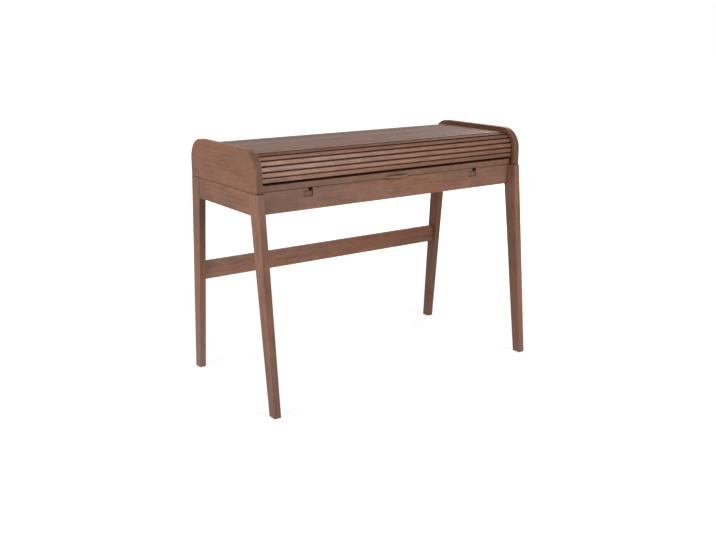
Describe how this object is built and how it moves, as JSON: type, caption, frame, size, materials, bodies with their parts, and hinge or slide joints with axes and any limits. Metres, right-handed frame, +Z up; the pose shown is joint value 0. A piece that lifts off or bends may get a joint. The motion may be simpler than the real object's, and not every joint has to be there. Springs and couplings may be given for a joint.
{
  "type": "tambour desk",
  "caption": "Writing desk on splayed tapered legs, with a slatted tambour that rolls back over a shallow case and a worktop that pulls out.",
  "frame": {"origin": "middle of the footprint, on the floor", "axes": "+X to the desk's right as seen from the front, -Y to the front, +Z up"},
  "size_m": [1.1, 0.594, 0.85],
  "materials": {
    "frame_wood": "stained walnut, satin lacquer",
    "case_wood": "stained walnut, satin lacquer",
    "worktop_wood": "stained walnut, satin lacquer",
    "slat_wood": "stained walnut, satin lacquer",
    "inner_wood": "plain wood, thin lacquer",
    "dowel_wood": "plain beech",
    "glide_plastic": "matte",
    "screw_steel": "zinc plated",
    "canvas_cloth": "plain woven cotton"
  },
  "bodies": {
    "desk": {"front_left_leg": "frame_wood", "front_right_leg": "frame_wood", "back_left_leg": "frame_wood", "back_right_leg": "frame_wood", "left_side_rail": "frame_wood", "right_side_rail": "frame_wood", "front_apron": "frame_wood", "back_rail": "frame_wood", "stretcher": "frame_wood", "dowels": "dowel_wood", "foot_glides": "glide_plastic", "left_end_panel": "case_wood", "right_end_panel": "case_wood", "back_panel": "case_wood", "organiser_floor": "inner_wood", "false_back": "inner_wood", "left_divider": "inner_wood", "right_divider": "inner_wood", "left_ledger": "inner_wood", "right_ledger": "inner_wood"},
    "worktop": {"worktop": "worktop_wood", "finger_pull": "worktop_wood", "left_runner": "inner_wood", "right_runner": "inner_wood", "worktop_stop": "inner_wood", "runner_screws": "screw_steel"},
    "shutter": {"slat_07": "slat_wood", "slat_08": "slat_wood", "slat_09": "slat_wood", "slat_10": "slat_wood", "slat_11": "slat_wood", "slat_12": "slat_wood", "slat_13": "slat_wood", "slat_14": "slat_wood", "slat_15": "slat_wood", "slat_16": "slat_wood", "slat_17": "slat_wood", "slat_18": "slat_wood", "slat_19": "slat_wood", "slat_20": "slat_wood", "canvas": "canvas_cloth"},
    "lead_rail": {"lead_rail": "slat_wood"},
    "slat_01": {"slat_01": "slat_wood"},
    "slat_02": {"slat_02": "slat_wood"},
    "slat_03": {"slat_03": "slat_wood"},
    "slat_04": {"slat_04": "slat_wood"},
    "slat_05": {"slat_05": "slat_wood"},
    "slat_06": {"slat_06": "slat_wood"},
    "slat_21": {"slat_21": "slat_wood"},
    "slat_22": {"slat_22": "slat_wood"},
    "slat_23": {"slat_23": "slat_wood"},
    "slat_24": {"slat_24": "slat_wood"},
    "slat_25": {"slat_25": "slat_wood"},
    "slat_26": {"slat_26": "slat_wood"},
    "slat_27": {"slat_27": "slat_wood"},
    "slat_28": {"slat_28": "slat_wood"},
    "slat_29": {"slat_29": "slat_wood"},
    "slat_30": {"slat_30": "slat_wood"},
    "slat_31": {"slat_31": "slat_wood"}
  },
  "joints": [
    {"name": "worktop_slide", "type": "slide", "parent": "desk", "child": "worktop", "axis": [0, -1, 0], "range_m": [0, 0.2]},
    {"name": "tambour_slide", "type": "slide", "parent": "desk", "child": "shutter", "axis": [0, 1, 0], "range_m": [0, 0.084], "deforming": ["canvas"]},
    {"name": "lead_rail_turn", "type": "hinge", "parent": "desk", "child": "lead_rail", "pos_m": [0, -0.13382, 0.7642], "axis": [-1, 0, 0], "range_deg": [0, 67.46]},
    {"name": "slat_01_turn", "type": "hinge", "parent": "desk", "child": "slat_01", "pos_m": [0, -0.14741, 0.7726], "axis": [-1, 0, 0], "range_deg": [0, 85.62]},
    {"name": "slat_02_turn", "type": "hinge", "parent": "desk", "child": "slat_02", "pos_m": [0, -0.14363, 0.76699], "axis": [-1, 0, 0], "range_deg": [0, 77.03]},
    {"name": "slat_03_turn", "type": "hinge", "parent": "desk", "child": "slat_03", "pos_m": [0, -0.13523, 0.74882], "axis": [-1, 0, 0], "range_deg": [0, 58.87]},
    {"name": "slat_04_turn", "type": "hinge", "parent": "desk", "child": "slat_04", "pos_m": [0, -0.12683, 0.71253], "axis": [-1, 0, 0], "range_deg": [0, 40.7]},
    {"name": "slat_05_turn", "type": "hinge", "parent": "desk", "child": "slat_05", "pos_m": [0, -0.11843, 0.61657], "axis": [-1, 0, 0], "range_deg": [0, 22.54]},
    {"name": "slat_06_turn", "type": "hinge", "parent": "desk", "child": "slat_06", "pos_m": [0, -0.11003, -0.27015], "axis": [-1, 0, 0], "range_deg": [0, 4.38]},
    {"name": "slat_21_turn", "type": "hinge", "parent": "desk", "child": "slat_21", "pos_m": [0, 0.13397, 0.45673], "axis": [-1, 0, 0], "range_deg": [0, 12.92]},
    {"name": "slat_22_turn", "type": "hinge", "parent": "desk", "child": "slat_22", "pos_m": [0, 0.14237, 0.67565], "axis": [-1, 0, 0], "range_deg": [0, 31.08]},
    {"name": "slat_23_turn", "type": "hinge", "parent": "desk", "child": "slat_23", "pos_m": [0, 0.15077, 0.73304], "axis": [-1, 0, 0], "range_deg": [0, 49.24]},
    {"name": "slat_24_turn", "type": "hinge", "parent": "desk", "child": "slat_24", "pos_m": [0, 0.15917, 0.75877], "axis": [-1, 0, 0], "range_deg": [0, 67.4]},
    {"name": "slat_25_turn", "type": "hinge", "parent": "desk", "child": "slat_25", "pos_m": [0, 0.16757, 0.77238], "axis": [-1, 0, 0], "range_deg": [0, 85.56]},
    {"name": "slat_26_turn", "type": "hinge", "parent": "desk", "child": "slat_26", "pos_m": [0, 0.16203, 0.76865], "axis": [-1, 0, 0], "range_deg": [0, 77.08]},
    {"name": "slat_27_turn", "type": "hinge", "parent": "desk", "child": "slat_27", "pos_m": [0, 0.14389, 0.76025], "axis": [-1, 0, 0], "range_deg": [0, 58.92]},
    {"name": "slat_28_turn", "type": "hinge", "parent": "desk", "child": "slat_28", "pos_m": [0, 0.10769, 0.75185], "axis": [-1, 0, 0], "range_deg": [0, 40.76]},
    {"name": "slat_29_turn", "type": "hinge", "parent": "desk", "child": "slat_29", "pos_m": [0, 0.01211, 0.74345], "axis": [-1, 0, 0], "range_deg": [0, 22.6]},
    {"name": "slat_30_turn", "type": "hinge", "parent": "desk", "child": "slat_30", "pos_m": [0, -0.86117, 0.73505], "axis": [-1, 0, 0], "range_deg": [0, 4.44]},
    {"name": "slat_31_slide", "type": "slide", "parent": "desk", "child": "slat_31", "axis": [0, 0, -1], "range_m": [0, 0.084]}
  ],
  "couplings": [
    {"joint": "lead_rail_turn", "follows": "tambour_slide", "rad_per_m": 14.016},
    {"joint": "slat_01_turn", "follows": "tambour_slide", "rad_per_m": 17.79},
    {"joint": "slat_02_turn", "follows": "tambour_slide", "rad_per_m": 16.005},
    {"joint": "slat_03_turn", "follows": "tambour_slide", "rad_per_m": 12.231},
    {"joint": "slat_04_turn", "follows": "tambour_slide", "rad_per_m": 8.4574},
    {"joint": "slat_05_turn", "follows": "tambour_slide", "rad_per_m": 4.6838},
    {"joint": "slat_06_turn", "follows": "tambour_slide", "rad_per_m": 0.9102},
    {"joint": "slat_21_turn", "follows": "tambour_slide", "rad_per_m": 2.6837},
    {"joint": "slat_22_turn", "follows": "tambour_slide", "rad_per_m": 6.4573},
    {"joint": "slat_23_turn", "follows": "tambour_slide", "rad_per_m": 10.231},
    {"joint": "slat_24_turn", "follows": "tambour_slide", "rad_per_m": 14.004},
    {"joint": "slat_25_turn", "follows": "tambour_slide", "rad_per_m": 17.778},
    {"joint": "slat_26_turn", "follows": "tambour_slide", "rad_per_m": 16.016},
    {"joint": "slat_27_turn", "follows": "tambour_slide", "rad_per_m": 12.243},
    {"joint": "slat_28_turn", "follows": "tambour_slide", "rad_per_m": 8.4691},
    {"joint": "slat_29_turn", "follows": "tambour_slide", "rad_per_m": 4.6955},
    {"joint": "slat_30_turn", "follows": "tambour_slide", "rad_per_m": 0.92192},
    {"joint": "slat_31_slide", "follows": "tambour_slide", "ratio": 1}
  ]
}
